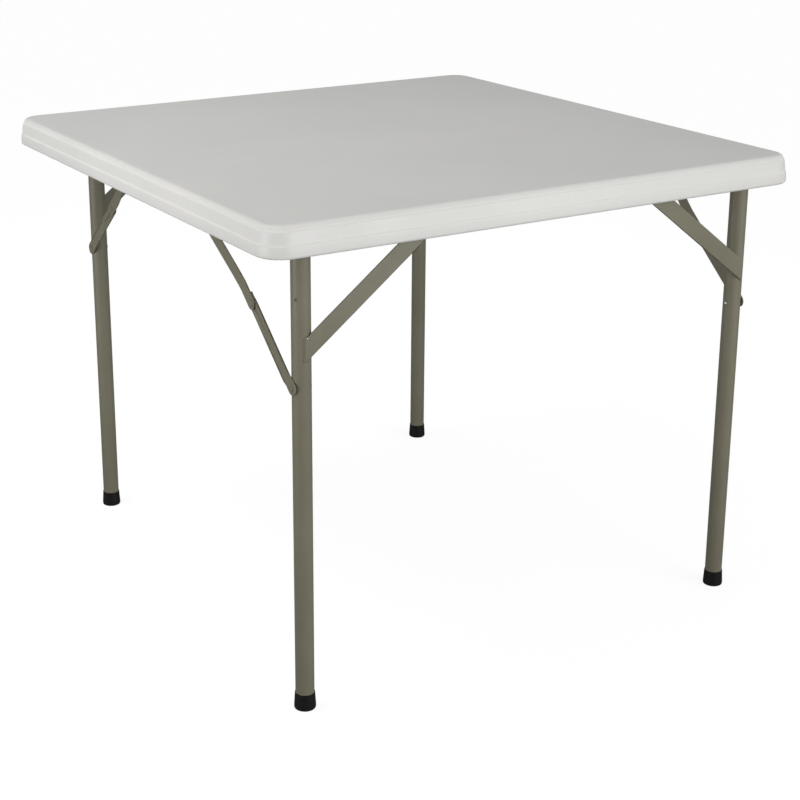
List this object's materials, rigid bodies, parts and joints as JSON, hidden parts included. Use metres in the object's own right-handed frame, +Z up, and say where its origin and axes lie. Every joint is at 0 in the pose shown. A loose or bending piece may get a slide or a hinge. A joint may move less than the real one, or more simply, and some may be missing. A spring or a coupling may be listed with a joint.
{
  "type": "folding card table",
  "caption": "Square folding card table with a blow-moulded plastic top and round steel tube leg frames that fold flat under it on two-link braces.",
  "frame": {"origin": "on the floor under the middle of the top", "axes": "+Z up, +X to the right along the front edge, +Y from the front leg frame to the back leg frame"},
  "size_m": [0.94, 0.94, 0.74],
  "materials": {
    "top_plastic": "fine moulded grain, warm off-white",
    "leg_paint": "olive-grey hammered powder coat, satin",
    "zinc_steel": "zinc plated",
    "black_plastic": "black, moulded",
    "black_nylon": "black nylon"
  },
  "bodies": {
    "root": {"tabletop": "top_plastic", "side_rail_left": "leg_paint", "side_rail_right": "leg_paint", "brace_bracket_left": "leg_paint", "brace_bracket_right": "leg_paint", "rail_screws": "zinc_steel", "bracket_screws": "zinc_steel", "rail_bushes": "black_nylon", "front_brace_top_rivets": "zinc_steel", "back_brace_top_rivets": "zinc_steel"},
    "front_leg_frame": {"front_crossbar": "leg_paint", "front_pivot_pins": "zinc_steel", "front_pin_clips": "zinc_steel", "front_left_leg": "leg_paint", "front_left_strip": "leg_paint", "front_left_foot_cap": "black_plastic", "front_left_leg_rivet": "zinc_steel", "front_right_leg": "leg_paint", "front_right_strip": "leg_paint", "front_right_foot_cap": "black_plastic", "front_right_leg_rivet": "zinc_steel"},
    "back_leg_frame": {"back_crossbar": "leg_paint", "back_pivot_pins": "zinc_steel", "back_pin_clips": "zinc_steel", "back_left_leg": "leg_paint", "back_left_strip": "leg_paint", "back_left_foot_cap": "black_plastic", "back_left_leg_rivet": "zinc_steel", "back_right_leg": "leg_paint", "back_right_strip": "leg_paint", "back_right_foot_cap": "black_plastic", "back_right_leg_rivet": "zinc_steel"},
    "front_left_lower_brace": {"front_left_lower_link": "leg_paint", "front_left_lower_knee_stud": "leg_paint"},
    "front_left_upper_brace": {"front_left_upper_link": "leg_paint", "front_left_upper_knee_stud": "leg_paint"},
    "front_right_lower_brace": {"front_right_lower_link": "leg_paint", "front_right_lower_knee_stud": "leg_paint"},
    "front_right_upper_brace": {"front_right_upper_link": "leg_paint", "front_right_upper_knee_stud": "leg_paint"},
    "back_left_lower_brace": {"back_left_lower_link": "leg_paint", "back_left_lower_knee_stud": "leg_paint"},
    "back_left_upper_brace": {"back_left_upper_link": "leg_paint", "back_left_upper_knee_stud": "leg_paint"},
    "back_right_lower_brace": {"back_right_lower_link": "leg_paint", "back_right_lower_knee_stud": "leg_paint"},
    "back_right_upper_brace": {"back_right_upper_link": "leg_paint", "back_right_upper_knee_stud": "leg_paint"}
  },
  "joints": [
    {"name": "front_leg_fold", "type": "hinge", "parent": "root", "child": "front_leg_frame", "pos_m": [0, -0.421, 0.709], "axis": [1, 0, 0], "range_deg": [0, 90]},
    {"name": "back_leg_fold", "type": "hinge", "parent": "root", "child": "back_leg_frame", "pos_m": [0, 0.421, 0.709], "axis": [-1, 0, 0], "range_deg": [0, 90]},
    {"name": "front_left_lower_link_fold", "type": "hinge", "parent": "front_leg_frame", "child": "front_left_lower_brace", "pos_m": [-0.4126, -0.421, 0.498], "axis": [1, 0, 0], "range_deg": [0, 49.1]},
    {"name": "front_left_upper_link_fold", "type": "hinge", "parent": "root", "child": "front_left_upper_brace", "pos_m": [-0.42725, -0.178, 0.709], "axis": [-1, 0, 0], "range_deg": [0, 41]},
    {"name": "front_right_lower_link_fold", "type": "hinge", "parent": "front_leg_frame", "child": "front_right_lower_brace", "pos_m": [0.4126, -0.421, 0.498], "axis": [1, 0, 0], "range_deg": [0, 49.1]},
    {"name": "front_right_upper_link_fold", "type": "hinge", "parent": "root", "child": "front_right_upper_brace", "pos_m": [0.42725, -0.178, 0.709], "axis": [-1, 0, 0], "range_deg": [0, 41]},
    {"name": "back_left_lower_link_fold", "type": "hinge", "parent": "back_leg_frame", "child": "back_left_lower_brace", "pos_m": [-0.3586, 0.421, 0.498], "axis": [-1, 0, 0], "range_deg": [0, 49.1]},
    {"name": "back_left_upper_link_fold", "type": "hinge", "parent": "root", "child": "back_left_upper_brace", "pos_m": [-0.37325, 0.178, 0.709], "axis": [1, 0, 0], "range_deg": [0, 41]},
    {"name": "back_right_lower_link_fold", "type": "hinge", "parent": "back_leg_frame", "child": "back_right_lower_brace", "pos_m": [0.3586, 0.421, 0.498], "axis": [-1, 0, 0], "range_deg": [0, 49.1]},
    {"name": "back_right_upper_link_fold", "type": "hinge", "parent": "root", "child": "back_right_upper_brace", "pos_m": [0.37325, 0.178, 0.709], "axis": [1, 0, 0], "range_deg": [0, 41]}
  ],
  "couplings": [
    {"joint": "front_left_lower_link_fold", "follows": "front_leg_fold", "ratio": 0.5448},
    {"joint": "front_left_upper_link_fold", "follows": "front_leg_fold", "ratio": 0.4552},
    {"joint": "front_right_lower_link_fold", "follows": "front_leg_fold", "ratio": 0.5448},
    {"joint": "front_right_upper_link_fold", "follows": "front_leg_fold", "ratio": 0.4552},
    {"joint": "back_left_lower_link_fold", "follows": "back_leg_fold", "ratio": 0.5448},
    {"joint": "back_left_upper_link_fold", "follows": "back_leg_fold", "ratio": 0.4552},
    {"joint": "back_right_lower_link_fold", "follows": "back_leg_fold", "ratio": 0.5448},
    {"joint": "back_right_upper_link_fold", "follows": "back_leg_fold", "ratio": 0.4552}
  ]
}
